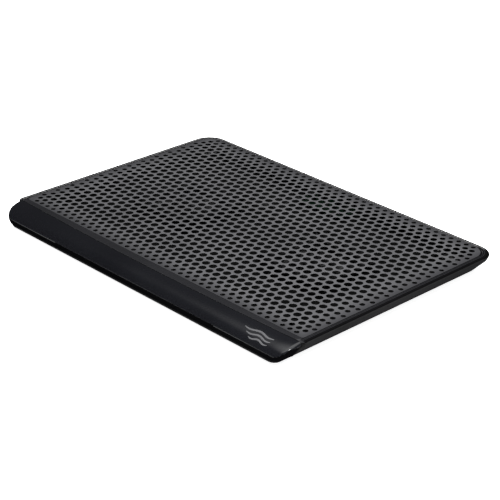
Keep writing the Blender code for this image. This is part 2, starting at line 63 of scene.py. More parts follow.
def addPiece(name, mesh, material, body="root"):
    made = bpy.data.objects.new(name, mesh)
    bpy.context.scene.collection.objects.link(made)
    mesh.materials.append(material)
    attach(made, body)
    return made


def shadeMesh(mesh, smoothBelow):
    mesh.shade_smooth()
    mesh.set_sharp_from_angle(angle=math.radians(smoothBelow))
    return mesh


def meshFrom(name, bm, smoothBelow=40):
    bmesh.ops.recalc_face_normals(bm, faces=bm.faces)
    mesh = bpy.data.meshes.new(name)
    bm.to_mesh(mesh)
    bm.free()
    return shadeMesh(mesh, smoothBelow)


def bakeStack(made, smoothBelow=40):     # for stacks that name a helper object
    evaluated = made.evaluated_get(bpy.context.evaluated_depsgraph_get())
    mesh = bpy.data.meshes.new_from_object(evaluated)
    made.modifiers.clear()
    made.data = mesh
    return shadeMesh(mesh, smoothBelow)


def roundedLoop(half, near, far, nearRadius, farRadius, steps=12, frontSteps=1):
    corners = [(half - nearRadius, near + nearRadius, nearRadius, -90),
               (half - farRadius, far - farRadius, farRadius, 0),
               (-half + farRadius, far - farRadius, farRadius, 90),
               (-half + nearRadius, near + nearRadius, nearRadius, 180)]
    points = []
    for x, y, radius, start in corners:
        for step in range(steps + 1):
            angle = math.radians(start + 90 * step / steps)
            points.append((x + radius * math.cos(angle), y + radius * math.sin(angle)))
    for step in range(1, frontSteps):
        points.append(((half - nearRadius) * (2 * step / frontSteps - 1), near))
    return points


def seamShift(x):                        # the seam bows forward in the middle of the front
    return (-1.9 + 3.8 * (x / frameHigh.x) ** 2) * mm


def loftLoops(bm, loops, closed=False, caps=False):
    rings = [[bm.verts.new((x, y, z)) for x, y in points] for points, z in loops]
    pairs = list(zip(rings, rings[1:]))
    if closed:
        pairs.append((rings[-1], rings[0]))
    for lower, upper in pairs:
        for i in range(len(lower)):
            j = (i + 1) % len(lower)
            bm.faces.new((lower[i], lower[j], upper[j], upper[i]))
    if caps:
        bm.faces.new(rings[0])
        bm.faces.new(rings[-1])
    return rings


def flatCurve(name, outlines, thick, edge):
    curve = bpy.data.curves.new(name, "CURVE")
    curve.dimensions = "2D"
    curve.fill_mode = "BOTH"
    curve.extrude = thick / 2 - edge
    curve.bevel_depth = edge
    curve.bevel_resolution = 0
    for outline in outlines:
        spline = curve.splines.new("POLY")
        spline.points.add(len(outline) - 1)
        for point, (x, y) in zip(spline.points, outline):
            point.co = (x, y, 0, 1)
        spline.use_cyclic_u = True
    drawn = bpy.data.objects.new(name, curve)
    bpy.context.scene.collection.objects.link(drawn)
    mesh = bpy.data.meshes.new_from_object(
        drawn.evaluated_get(bpy.context.evaluated_depsgraph_get()))
    bpy.data.objects.remove(drawn, do_unlink=True)
    bm = bmesh.new()
    bm.from_mesh(mesh)
    bmesh.ops.remove_doubles(bm, verts=bm.verts, dist=0.002 * mm)
    bpy.data.meshes.remove(mesh)
    return bm


def circle(x, y, radius, sides, turn=0.0):
    return [(x + radius * math.cos(2 * math.pi * (i + turn) / sides),
             y + radius * math.sin(2 * math.pi * (i + turn) / sides)) for i in range(sides)]


def turnedPiece(name, profile, place, material, steps=40, body="root", smoothBelow=35):
    mesh = bpy.data.meshes.new(name)
    edges = [(i, i + 1) for i in range(len(profile) - 1)]
    mesh.from_pydata([(r, 0, z) for r, z in profile], edges, [])
    made = bpy.data.objects.new(name, mesh)
    bpy.context.scene.collection.objects.link(made)
    screw = made.modifiers.new("turn", "SCREW")
    screw.steps = steps
    screw.render_steps = steps
    screw.use_merge_vertices = True
    screw.merge_threshold = 0.01 * mm
    bpy.context.view_layer.update()
    bakeStack(made, smoothBelow)
    made.data.transform(Matrix.Translation(place))
    made.data.materials.append(material)
    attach(made, body)
    return made


def cutWith(made, bm, smoothBelow=40):
    bmesh.ops.recalc_face_normals(bm, faces=bm.faces)
    mesh = bpy.data.meshes.new("cutter")
    bm.to_mesh(mesh)
    bm.free()
    tool = bpy.data.objects.new("cutter", mesh)
    bpy.context.scene.collection.objects.link(tool)
    step = made.modifiers.new("cut", "BOOLEAN")
    step.operation = "DIFFERENCE"
    step.solver = "EXACT"
    step.use_self = True                 # the cutter's own boxes cross each other
    step.object = tool
    bpy.context.view_layer.update()
    bakeStack(made, smoothBelow)
    bpy.data.objects.remove(tool, do_unlink=True)


def middleOf(node):                      # place of a frame node, seen from above
    low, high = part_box(node)
    return Vector(((low.x + high.x) / 2, (low.y + high.y) / 2, 0))


def softenEdges(made, width, sharpest=None):
    bevel = made.modifiers.new("softened edges", "BEVEL")
    bevel.width = width
    bevel.segments = 2
    if sharpest is not None:
        bevel.limit_method = "ANGLE"
        bevel.angle_limit = math.radians(sharpest)


def cubeInto(bm, low, high, turn=None):
    low = Vector(low)
    high = Vector(high)
    place = Matrix.Translation((low + high) / 2) @ Matrix.Diagonal((*(high - low), 1))
    return bmesh.ops.create_cube(bm, size=1, matrix=place if turn is None else turn @ place)


def rodInto(bm, x, y, radius, low, high, sides, turn=None):
    place = Matrix.Translation((x, y, (low + high) / 2))
    if turn is not None:
        place = turn @ place
    bmesh.ops.create_cone(bm, cap_ends=True, segments=sides, radius1=radius, radius2=radius,
                          depth=high - low, matrix=place)


def slotInto(bm, x0, x1, y, halfWide, low, high, steps=6):
    outline = []
    for end, start in ((x1 - halfWide, -90), (x0 + halfWide, 90)):
        for step in range(steps + 1):
            angle = math.radians(start + 180 * step / steps)
            outline.append((end + halfWide * math.cos(angle), y + halfWide * math.sin(angle)))
    loftLoops(bm, [(outline, low), (outline, high)], caps=True)


# camera, lights and floor

studio = {
    "camera": (0.9667, -0.9362, 0.6540),
    "aim": (0.0390, -0.0283, 0.0208),
    "roll": 1.12,
    "lens": 115.4,
    "floorColour": (0.87, 0.87, 0.87),
    "skyStrength": 5.0,
    "tableGlow": 0.95,                   # the floor is a glowing light table
    "skyStart": 0.74,                    # sine of the height where the overhead light begins
    "skyFull": 0.92,
    "glintPlace": (0.623, -0.231, 0.788),
    "glintAim": (0.186, -0.120, 0.015),
    "glintSize": (0.10, 0.10),
    "glintPower": 6.0,
    "lowSky": 0.010,
}


def makeCamera():
    data = bpy.data.cameras.new("camera")
    data.lens = studio["lens"]
    data.clip_start = 0.05
    made = bpy.data.objects.new("camera", data)
    bpy.context.scene.collection.objects.link(made)
    place = Vector(studio["camera"])
    look = (Vector(studio["aim"]) - place).to_track_quat("-Z", "Y")
    tilt = Matrix.Rotation(math.radians(studio["roll"]), 4, "Z")
    made.matrix_world = Matrix.Translation(place) @ look.to_matrix().to_4x4() @ tilt
    bpy.context.scene.camera = made


def softBox(name, place, aim, size, power):
    data = bpy.data.lights.new(name, "AREA")
    data.shape = "RECTANGLE"
    data.size = size[0]
    data.size_y = size[1]
    data.energy = power
    made = bpy.data.objects.new(name, data)
    bpy.context.scene.collection.objects.link(made)
    made.location = place
    made.rotation_mode = "QUATERNION"
    made.rotation_quaternion = (Vector(aim) - Vector(place)).to_track_quat("-Z", "Y")


def makeStudio():
    softBox("cornerGlint", studio["glintPlace"], studio["glintAim"], studio["glintSize"],
            studio["glintPower"])
    world = bpy.data.worlds.new("studio")
    bpy.context.scene.world = world
    world.use_nodes = True
    nodes = world.node_tree.nodes
    links = world.node_tree.links
    sky = nodes["Background"]
    direction = nodes.new("ShaderNodeTexCoord")
    direction.label = "sky direction"
    direction.location = (-900, 0)
    height = nodes.new("ShaderNodeSeparateXYZ")
    height.label = "height in the sky"
    height.location = (-700, 0)
    dome = nodes.new("ShaderNodeMapRange")
    dome.label = "overhead softbox"
    dome.location = (-500, 0)
    dome.interpolation_type = "SMOOTHSTEP"
    dome.inputs["From Min"].default_value = studio["skyStart"]
    dome.inputs["From Max"].default_value = studio["skyFull"]
    dome.inputs["To Min"].default_value = studio["lowSky"]
    sky.inputs["Strength"].default_value = studio["skyStrength"]
    links.new(direction.outputs["Generated"], height.inputs["Vector"])
    links.new(height.outputs["Z"], dome.inputs["Value"])
    links.new(dome.outputs["Result"], sky.inputs["Color"])
    bm = bmesh.new()
    bmesh.ops.create_grid(bm, x_segments=1, y_segments=1, size=8)
    mesh = bpy.data.meshes.new("floor")
    bm.to_mesh(mesh)
    bm.free()
    floor = bpy.data.objects.new("floor", mesh)
    bpy.context.scene.collection.objects.link(floor)
    paint = bpy.data.materials.new("floorPaint")
    paint.use_nodes = True
    shader = paint.node_tree.nodes["Principled BSDF"]
    shader.inputs["Base Color"].default_value = (*studio["floorColour"], 1)
    shader.inputs["Roughness"].default_value = 0.9
    shader.inputs["Specular IOR Level"].default_value = 0.1
    shader.inputs["Emission Color"].default_value = (1, 1, 1, 1)
    shader.inputs["Emission Strength"].default_value = studio["tableGlow"]
    mesh.materials.append(paint)
    bpy.context.scene.view_settings.view_transform = "Standard"


makeCamera()
makeStudio()
print("studio ready")


# materials

def paintedSteel():                      # dark satin paint on the punched sheet
    material = bpy.data.materials.new("paintedSteel")
    material.use_nodes = True
    nodes = material.node_tree.nodes
    links = material.node_tree.links
    nodes.clear()
    colourFrame = nodes.new("NodeFrame")
    colourFrame.label = "paint colour"
    reliefFrame = nodes.new("NodeFrame")
    reliefFrame.label = "paint relief"
    place = nodes.new("ShaderNodeTexCoord")
    place.label = "sheet position"
    place.location = (-1300, 0)
    cloud = nodes.new("ShaderNodeTexNoise")
    cloud.label = "uneven spray"
    cloud.location = (-1050, 250)
    cloud.parent = colourFrame
    tint = nodes.new("ShaderNodeValToRGB")
    tint.label = "grey range"
    tint.location = (-800, 250)
    tint.parent = colourFrame
    axes = nodes.new("ShaderNodeSeparateXYZ")
    axes.label = "place on the sheet"
    axes.location = (-1300, 600)
    axes.parent = colourFrame
    across = nodes.new("ShaderNodeMath")
    across.label = "distance across"
    across.location = (-1100, 700)
    across.parent = colourFrame
    along = nodes.new("ShaderNodeMath")
    along.label = "distance from the middle row"
    along.location = (-1100, 500)
    along.parent = colourFrame
    alongSize = nodes.new("ShaderNodeMath")
    alongSize.label = "distance along"
    alongSize.location = (-950, 500)
    alongSize.parent = colourFrame
    sideMargin = nodes.new("ShaderNodeMapRange")
    sideMargin.label = "side margin"
    sideMargin.location = (-800, 700)
    sideMargin.parent = colourFrame
    endMargin = nodes.new("ShaderNodeMapRange")
    endMargin.label = "near and far margin"
    endMargin.location = (-800, 500)
    endMargin.parent = colourFrame
    margin = nodes.new("ShaderNodeMath")
    margin.label = "unpunched margin"
    margin.location = (-620, 600)
    margin.parent = colourFrame
    # the unpunched margin is painted darker than the hole field: painted shade, with the field standing
    # lighter for light caught by the hole rims
    painted = nodes.new("ShaderNodeMix")
    painted.label = "margin painted darker as shade"
    painted.location = (-450, 450)
    painted.parent = colourFrame
    peel = nodes.new("ShaderNodeTexNoise")
    peel.label = "orange peel"
    peel.location = (-1050, -150)
    peel.parent = reliefFrame
    grit = nodes.new("ShaderNodeTexNoise")
    grit.label = "fine grit"
    grit.location = (-1050, -400)
    grit.parent = reliefFrame
    mixed = nodes.new("ShaderNodeMath")
    mixed.label = "peel and grit"
    mixed.location = (-800, -250)
    mixed.parent = reliefFrame
    bump = nodes.new("ShaderNodeBump")
    bump.label = "paint surface"
    bump.location = (-550, -250)
    bump.parent = reliefFrame
    gloss = nodes.new("ShaderNodeMapRange")
    gloss.label = "satin range"
    gloss.location = (-550, 50)
    shader = nodes.new("ShaderNodeBsdfPrincipled")
    shader.label = "painted sheet"
    shader.location = (-250, 100)
    surface = nodes.new("ShaderNodeOutputMaterial")
    surface.location = (50, 100)
    cloud.inputs["Scale"].default_value = 14
    cloud.inputs["Detail"].default_value = 3
    tint.color_ramp.elements[0].position = 0.3
    tint.color_ramp.elements[0].color = (0.070, 0.070, 0.074, 1)
    tint.color_ramp.elements[1].position = 0.7
    tint.color_ramp.elements[1].color = (0.090, 0.090, 0.095, 1)
    across.operation = "ABSOLUTE"
    along.operation = "SUBTRACT"
    along.inputs[1].default_value = plateMiddleY
    alongSize.operation = "ABSOLUTE"
    sideMargin.inputs["From Min"].default_value = 168 * mm
    sideMargin.inputs["From Max"].default_value = 185 * mm
    endMargin.inputs["From Min"].default_value = 104 * mm
    endMargin.inputs["From Max"].default_value = 120 * mm
    margin.operation = "MAXIMUM"
    painted.data_type = "RGBA"
    # colour of the painted shade on the margin
    painted.inputs["B"].default_value = (0.030, 0.030, 0.033, 1)
    peel.inputs["Scale"].default_value = 900
    grit.inputs["Scale"].default_value = 4200
    grit.inputs["Detail"].default_value = 4
    mixed.operation = "MULTIPLY_ADD"
    mixed.inputs[1].default_value = 0.5
    bump.inputs["Strength"].default_value = 0.25
    bump.inputs["Distance"].default_value = 0.00005
    gloss.inputs["To Min"].default_value = 0.36
    gloss.inputs["To Max"].default_value = 0.50
    shader.inputs["Metallic"].default_value = 0.1
    shader.inputs["Specular IOR Level"].default_value = 0.3
    links.new(place.outputs["Object"], cloud.inputs["Vector"])
    links.new(place.outputs["Object"], peel.inputs["Vector"])
    links.new(place.outputs["Object"], grit.inputs["Vector"])
    links.new(cloud.outputs["Fac"], tint.inputs["Fac"])
    links.new(grit.outputs["Fac"], mixed.inputs[0])
    links.new(peel.outputs["Fac"], mixed.inputs[2])
    links.new(mixed.outputs["Value"], bump.inputs["Height"])
    links.new(peel.outputs["Fac"], gloss.inputs["Value"])
    links.new(place.outputs["Object"], axes.inputs["Vector"])
    links.new(axes.outputs["X"], across.inputs[0])
    links.new(axes.outputs["Y"], along.inputs[0])
    links.new(along.outputs["Value"], alongSize.inputs[0])
    links.new(across.outputs["Value"], sideMargin.inputs["Value"])
    links.new(alongSize.outputs["Value"], endMargin.inputs["Value"])
    links.new(sideMargin.outputs["Result"], margin.inputs[0])
    links.new(endMargin.outputs["Result"], margin.inputs[1])
    links.new(margin.outputs["Value"], painted.inputs["Factor"])
    links.new(tint.outputs["Color"], painted.inputs["A"])
    links.new(painted.outputs["Result"], shader.inputs["Base Color"])
    links.new(gloss.outputs["Result"], shader.inputs["Roughness"])
    links.new(bump.outputs["Normal"], shader.inputs["Normal"])
    links.new(shader.outputs["BSDF"], surface.inputs["Surface"])
    return material


def mouldedPlastic(name, dark, light, smooth, rough, grainScale, grainDepth, specular=0.4):
    material = bpy.data.materials.new(name)
    material.use_nodes = True
    nodes = material.node_tree.nodes
    links = material.node_tree.links
    nodes.clear()
    colourFrame = nodes.new("NodeFrame")
    colourFrame.label = "resin colour"
    reliefFrame = nodes.new("NodeFrame")
    reliefFrame.label = "mould texture"
    place = nodes.new("ShaderNodeTexCoord")
    place.label = "moulding position"
    place.location = (-1300, 0)
    flow = nodes.new("ShaderNodeTexNoise")
    flow.label = "resin flow"
    flow.location = (-1050, 250)
    flow.parent = colourFrame
    tint = nodes.new("ShaderNodeValToRGB")
    tint.label = "resin range"
    tint.location = (-800, 250)
    tint.parent = colourFrame
    grain = nodes.new("ShaderNodeTexNoise")
    grain.label = "spark grain"
    grain.location = (-1050, -200)
    grain.parent = reliefFrame
    bump = nodes.new("ShaderNodeBump")
    bump.label = "grain relief"
    bump.location = (-550, -250)
    bump.parent = reliefFrame
    handled = nodes.new("ShaderNodeTexNoise")
    handled.label = "handling marks"
    handled.location = (-1050, 0)
    gloss = nodes.new("ShaderNodeMapRange")
    gloss.label = "gloss range"
    gloss.location = (-550, 50)
    shader = nodes.new("ShaderNodeBsdfPrincipled")
    shader.label = "moulding"
    shader.location = (-250, 100)
    surface = nodes.new("ShaderNodeOutputMaterial")
    surface.location = (50, 100)
    flow.inputs["Scale"].default_value = 9
    tint.color_ramp.elements[0].position = 0.3
    tint.color_ramp.elements[0].color = (*dark, 1)
    tint.color_ramp.elements[1].position = 0.7
    tint.color_ramp.elements[1].color = (*light, 1)
    grain.inputs["Scale"].default_value = grainScale
    grain.inputs["Detail"].default_value = 4
    bump.inputs["Strength"].default_value = 0.3
    bump.inputs["Distance"].default_value = grainDepth
    handled.inputs["Scale"].default_value = 26
    handled.inputs["Detail"].default_value = 5
    gloss.inputs["To Min"].default_value = smooth
    gloss.inputs["To Max"].default_value = rough
    shader.inputs["Specular IOR Level"].default_value = specular
    links.new(place.outputs["Object"], flow.inputs["Vector"])
    links.new(place.outputs["Object"], grain.inputs["Vector"])
    links.new(place.outputs["Object"], handled.inputs["Vector"])
    links.new(flow.outputs["Fac"], tint.inputs["Fac"])
    links.new(grain.outputs["Fac"], bump.inputs["Height"])
    links.new(handled.outputs["Fac"], gloss.inputs["Value"])
    links.new(tint.outputs["Color"], shader.inputs["Base Color"])
    links.new(gloss.outputs["Result"], shader.inputs["Roughness"])
    links.new(bump.outputs["Normal"], shader.inputs["Normal"])
    links.new(shader.outputs["BSDF"], surface.inputs["Surface"])
    return material


def metalFinish(name, dark, light, smooth, rough, scratchScale):
    material = bpy.data.materials.new(name)
    material.use_nodes = True
    nodes = material.node_tree.nodes
    links = material.node_tree.links
    nodes.clear()
    wearFrame = nodes.new("NodeFrame")
    wearFrame.label = "tool marks"
    place = nodes.new("ShaderNodeTexCoord")
    place.label = "metal position"
    place.location = (-1300, 0)
    stretch = nodes.new("ShaderNodeMapping")
    stretch.label = "draw marks along Z"
    stretch.location = (-1100, 0)
    marks = nodes.new("ShaderNodeTexNoise")
    marks.label = "draw marks"
    marks.location = (-900, -150)
    marks.parent = wearFrame
    stain = nodes.new("ShaderNodeTexNoise")
    stain.label = "plating stain"
    stain.location = (-900, 200)
    tint = nodes.new("ShaderNodeValToRGB")
    tint.label = "metal range"
    tint.location = (-650, 200)
    gloss = nodes.new("ShaderNodeMapRange")
    gloss.label = "polish range"
    gloss.location = (-500, 0)
    bump = nodes.new("ShaderNodeBump")
    bump.label = "marks relief"
    bump.location = (-500, -250)
    bump.parent = wearFrame
    shader = nodes.new("ShaderNodeBsdfPrincipled")
    shader.label = "metal"
    shader.location = (-250, 100)
    surface = nodes.new("ShaderNodeOutputMaterial")
    surface.location = (50, 100)
    stretch.inputs["Scale"].default_value = (1, 1, 0.2)
    marks.inputs["Scale"].default_value = scratchScale
    marks.inputs["Detail"].default_value = 3
    stain.inputs["Scale"].default_value = 300
    tint.color_ramp.elements[0].position = 0.3
    tint.color_ramp.elements[0].color = (*dark, 1)
    tint.color_ramp.elements[1].position = 0.7
    tint.color_ramp.elements[1].color = (*light, 1)
    gloss.inputs["To Min"].default_value = smooth
    gloss.inputs["To Max"].default_value = rough
    bump.inputs["Strength"].default_value = 0.2
    bump.inputs["Distance"].default_value = 0.00002
    shader.inputs["Metallic"].default_value = 1.0
    links.new(place.outputs["Object"], stretch.inputs["Vector"])
    links.new(stretch.outputs["Vector"], marks.inputs["Vector"])
    links.new(place.outputs["Object"], stain.inputs["Vector"])
    links.new(stain.outputs["Fac"], tint.inputs["Fac"])
    links.new(marks.outputs["Fac"], gloss.inputs["Value"])
    links.new(marks.outputs["Fac"], bump.inputs["Height"])
    links.new(tint.outputs["Color"], shader.inputs["Base Color"])
    links.new(gloss.outputs["Result"], shader.inputs["Roughness"])
    links.new(bump.outputs["Normal"], shader.inputs["Normal"])
    links.new(shader.outputs["BSDF"], surface.inputs["Surface"])
    return material


sheetPaint = paintedSteel()
# near-black for the hole walls and the sheet's underside: painted shade inside the holes
holeWallShade = mouldedPlastic("holeWallShade", (0.0015, 0.0015, 0.0016), (0.0025, 0.0025, 0.0026), 0.60, 0.80,
                           2400, 0.03 * mm, 0.05)
# also laid on the frame bead's crest as a painted highlight
stripSatin = mouldedPlastic("stripSatin", (0.0075, 0.0075, 0.0090), (0.0105, 0.0105, 0.0124), 0.36, 0.46,
                            2400, 0.03 * mm, 0.2)
glossTrim = mouldedPlastic("glossTrim", (0.0015, 0.0015, 0.0017), (0.0025, 0.0025, 0.0028), 0.08, 0.14,
                           3000, 0.004 * mm, 0.5)
railSatin = mouldedPlastic("railSatin", (0.0050, 0.0052, 0.0066), (0.0070, 0.0073, 0.0090), 0.10,
                           0.20, 3200, 0.004 * mm, 0.22)
shellGrain = mouldedPlastic("shellGrain", (0.0100, 0.0100, 0.0104), (0.0140, 0.0140, 0.0144), 0.60,
                            0.72, 1700, 0.05 * mm, 0.0)
# near-black matte for the rail's underside and ends: painted shade
railUnderShade = mouldedPlastic("railUnderShade", (0.0012, 0.0012, 0.0014), (0.0020, 0.0020, 0.0023), 0.60, 0.75,
                            2400, 0.03 * mm, 0.0)
# darker copy of the shell's plastic for its inside: painted shade
shellInsideShade = mouldedPlastic("shellInsideShade", (0.0010, 0.0010, 0.0010), (0.0018, 0.0018, 0.0018), 0.60,
                             0.75, 1700, 0.05 * mm, 0.05)
fanBlack = mouldedPlastic("fanBlack", (0.0020, 0.0020, 0.0021), (0.0034, 0.0034, 0.0036), 0.38, 0.52,
                          1500, 0.05 * mm, 0.12)
knobBlack = mouldedPlastic("knobBlack", (0.004, 0.004, 0.004), (0.007, 0.007, 0.007), 0.30, 0.42,
                           2600, 0.03 * mm, 0.3)
footRubber = mouldedPlastic("footRubber", (0.008, 0.008, 0.008), (0.014, 0.014, 0.014), 0.75, 0.92,
                            1300, 0.12 * mm, 0.2)
leadJacket = mouldedPlastic("leadJacket", (0.003, 0.003, 0.003), (0.006, 0.006, 0.006), 0.45, 0.60,
                            2100, 0.04 * mm, 0.15)
magnetDark = mouldedPlastic("magnetDark", (0.012, 0.0115, 0.011), (0.020, 0.019, 0.018), 0.55, 0.75,
                            2600, 0.05 * mm, 0.2)
boardMask = mouldedPlastic("boardMask", (0.0010, 0.0050, 0.0022), (0.0016, 0.0085, 0.0036), 0.40, 0.55,
                           900, 0.03 * mm, 0.1)
zincSteel = metalFinish("zincSteel", (0.40, 0.40, 0.41), (0.58, 0.58, 0.60), 0.25, 0.42, 2200)
blackSteel = metalFinish("blackSteel", (0.010, 0.010, 0.011), (0.018, 0.018, 0.020), 0.30, 0.45, 2200)
bronze = metalFinish("sinteredBronze", (0.34, 0.21, 0.09), (0.52, 0.35, 0.17), 0.40, 0.58, 1800)
copperWire = metalFinish("copperWire", (0.42, 0.15, 0.06), (0.60, 0.25, 0.11), 0.28, 0.40, 5200)
inkSilver = mouldedPlastic("inkSilver", (0.060, 0.060, 0.064), (0.095, 0.095, 0.100), 0.35, 0.50,
                           3000, 0.01 * mm, 0.3)
print("materials ready")


# perforated plate

plateLook = {
    "rows": 28,
    "columns": 42,
    "fieldHalfX": 181.2 * mm,
    "fieldHalfY": 116.2 * mm,
    "innerRadius": 3.78 * mm,            # holes away from the edges
    "edgeRadius": 2.30 * mm,             # holes in the outermost rows
    "gradedRings": 3.2,
    "rowPinch": (0.26, 4.5, 1.2),        # how much the pitch closes up, over how many rows, curve
    "columnPinch": (0.24, 3.0, 1.3),
    "holeSides": 14,
    "rolledEdge": 0.10 * mm,
    "nearCorner": 4.5 * mm,
    "farCorner": 16.8 * mm,
    "cornerKeep": 0.4 * mm,              # metal left between a corner hole and the corner
}


def spread(count, half, pinch):
    amount, reach, power = pinch
    gaps = []
    for i in range(count - 1):
        ring = min(i, count - 2 - i)
        gaps.append(1 - amount * max(0, 1 - ring / reach) ** power)
    scale = 2 * half / sum(gaps)
    places = [-half]
    for gap in gaps:
        places.append(places[-1] + gap * scale)
    return places


def inCorner(x, y, radius):
    look = plateLook
    corners = [(plateHigh.y - y, look["farCorner"]), (y - plateLow.y, 2 * look["nearCorner"])]
    for edgeGap, reach in corners:
        dx = reach - (plateHigh.x - abs(x))
        dy = reach - edgeGap
        if dx > 0 and dy > 0 and math.hypot(dx, dy) > reach - radius - look["cornerKeep"]:
            return True
    return False


def makePlate():
    look = plateLook
    columns = spread(look["columns"], look["fieldHalfX"], look["columnPinch"])
    between = [(a + b) / 2 for a, b in zip(columns, columns[1:])]
    rows = spread(look["rows"], look["fieldHalfY"], look["rowPinch"])
    edge = look["rolledEdge"]
    outlines = [roundedLoop(plateHigh.x - edge, plateLow.y + edge, plateHigh.y - edge,
                            look["nearCorner"], look["farCorner"])]
    for row, rowY in enumerate(rows):
        places = columns if row % 2 == 0 else between
        offset = 0 if row % 2 == 0 else 0.5
        for column, x in enumerate(places):
            ring = min(row, look["rows"] - 1 - row, column + offset, len(places) - 1 - column + offset)
            grade = max(0, 1 - ring / look["gradedRings"])
            radius = look["innerRadius"] - (look["innerRadius"] - look["edgeRadius"]) * grade
            y = plateMiddleY + rowY
            if not inCorner(x, y, radius):
                outlines.append(circle(x, y, radius + edge, look["holeSides"], 0.5))
    thick = plateHigh.z - plateLow.z
    bm = flatCurve("perforatedPlate", outlines, thick, edge)
    bmesh.ops.translate(bm, verts=bm.verts, vec=(0, 0, topZ - thick / 2))
    bm.normal_update()
    # faces that do not face up take the near-black material: painted shade on the hole walls and
    # underside
    for face in bm.faces:
        face.material_index = 0 if face.normal.z > 0.5 else 1
    made = addPiece("perforatedPlate", meshFrom("perforatedPlate", bm, 30), sheetPaint)
    made.data.materials.append(holeWallShade)
    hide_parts("perforated_plate")
    print("plate:", len(outlines) - 1, "holes")


makePlate()


# top frame: a flat strip in front, a falling edge and a gloss bead round the other sides

frameLook = {
    "farRadius": 19.8 * mm,
    "nearRadius": 4.5 * mm,
    "side": [(1.95, 3.2), (1.95, 1.55), (2.1, 1.20), (2.6, 0.95), (3.3, 0.72), (3.8, 0.55),
             (4.15, 0.50), (4.5, 0.62), (4.9, 0.88), (5.3, 0.82), (5.7, 0.36), (6.0, 0.08),
             (6.15, 0.0), (6.2, 0.12), (6.2, 0.9)],
    "topRow": 12,                        # the profile's point that is level with the plate
    "cornerSteps": 12,
    "frontSteps": 28,
    "stripRound": 0.35 * mm,             # round where the strip drops to the seam
    "seat": 6.2,
    "ledge": 5.0,
}


def stripEdge(rings):                    # the front side is a plain strip with a rounded edge
    look = frameLook
    steps = look["cornerSteps"]
    for row, ring in enumerate(rings[:look["topRow"] + 1]):
        turn = math.radians(90 * max(0, row - 1) / (look["topRow"] - 1))
        back = look["stripRound"] * (1 - math.cos(turn))
        height = topZ - look["stripRound"] * (1 - math.sin(turn)) if row else ring[0].co.z
        for i, vert in enumerate(ring):
            weight = 1.0
            if i <= steps:
                weight = 1 - i / steps
            elif i <= 3 * steps + 2:
                weight = 0.0
            elif i <= 4 * steps + 3:
                weight = (i - 3 * steps - 3) / steps
            vert.co.z += (height - vert.co.z) * weight
            vert.co.y += (back + seamShift(vert.co.x)) * weight


def makeTopFrame():
    look = frameLook
    sideSeat = (frameHigh.x - plateHigh.x) / (look["seat"] * mm)
    farSeat = (frameHigh.y - plateHigh.y) / (look["seat"] * mm)
    loops = []
    for row, (inset, drop) in enumerate(look["side"]):
        step = inset * mm
        near = frameLow.y if row <= look["topRow"] else plateLow.y - 0.3 * mm
        cornerNear = look["nearRadius"] if row <= look["topRow"] else plateLook["nearCorner"]
        loops.append((roundedLoop(frameHigh.x - step * sideSeat, near, frameHigh.y - step * farSeat,
                                  cornerNear, look["farRadius"] - step * farSeat,
                                  look["cornerSteps"], look["frontSteps"]), topZ - drop * mm))
    ledge = look["ledge"] * mm
    inner = roundedLoop(plateHigh.x - ledge, plateLow.y + ledge, plateHigh.y - ledge, 4 * mm, 10 * mm,
                        frontSteps=look["frontSteps"])
    loops.append((inner, topZ - 0.9 * mm))
    loops.append((inner, rimZ))
    bm = bmesh.new()
    stripEdge(loftLoops(bm, loops, closed=True))
    bm.normal_update()
    for face in bm.faces:
        middle = face.calc_center_median()
        strip = middle.y < plateLow.y and abs(face.normal.z) > 0.3
        # the bead's crest takes the lighter strip finish: a painted highlight along the bead
        crestHighlight = 0.40 * mm < topZ - middle.z < 0.60 * mm and middle.y > plateLow.y
        face.material_index = 1 if strip or crestHighlight else 0
    made = addPiece("topFrame", meshFrom("topFrame", bm, 38), glossTrim)
    made.data.materials.append(stripSatin)
    softenEdges(made, 0.12 * mm, 40)
    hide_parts("top_frame")
    print("top frame")


makeTopFrame()


# lean of the shell's sides, shared by the rail's ends

leanLook = {"side": 13.5 * mm, "far": 3.0 * mm, "baseZ": shellLow.z, "topZ": shellHigh.z}


def leanIn(z):                           # 1 at the base, 0 at the rim and above
    return 1 - min(1, (z - leanLook["baseZ"]) / (leanLook["topZ"] - leanLook["baseZ"]))


def sideAt(z):
    return shellHigh.x - leanLook["side"] * leanIn(z)


def farAt(z):
    return shellHigh.y - leanLook["far"] * leanIn(z)


# rounded front rail

railLook = {
    "middleY": -112.2 * mm,              # centre of the quarter ellipse
    "noseZ": 8.5 * mm,                   # height of the foremost line
    "noseShare": 0.85,                   # how far round the profile the nose is
    "footY": -135.9 * mm,                # the rail turns back under its nose
    "profileSteps": 30,
    "endSteps": 9,
    "endInset": 2.4 * mm,                # how far the ends stay inside the frame's sides
    "lean": 9.6 * mm,
    # faces that look less far up than this take the near-black matte: painted shade under the nose and on
    # the ends
    "shadeBelow": 0.30,                  # faces that look less far up than this are matte
    "endRadius": (3.4 * mm, 7.0 * mm),   # round at the rail's ends, at the seam and at the foot
    "leftSweep": (9.0 * mm, 0.62),       # the left end is rounder: more length, share of its depth
    "alongSteps": 30,
}


def railProfile(share):                  # share 0 at the seam, 1 at the foot
    look = railLook
    nose = look["noseShare"]
    depth = look["middleY"] - railLow.y
    first = math.asin((look["middleY"] - railHigh.y) / depth)
    height = (railHigh.z - look["noseZ"]) / math.cos(first)
    if share <= nose:
        angle = first + (math.pi / 2 - first) * share / nose
        point = Vector((0, look["middleY"] - depth * math.sin(angle),
                        look["noseZ"] + height * math.cos(angle)))
        out = Vector((0, -math.sin(angle) / depth, math.cos(angle) / height))
    else:
        under = (share - nose) / (1 - nose)
        drop = look["noseZ"] - railLow.z
        back = look["footY"] - railLow.y
        point = Vector((0, railLow.y + back * under ** 2, look["noseZ"] - drop * under))
        out = Vector((0, -drop, -2 * back * under))
    return point, out.normalized()


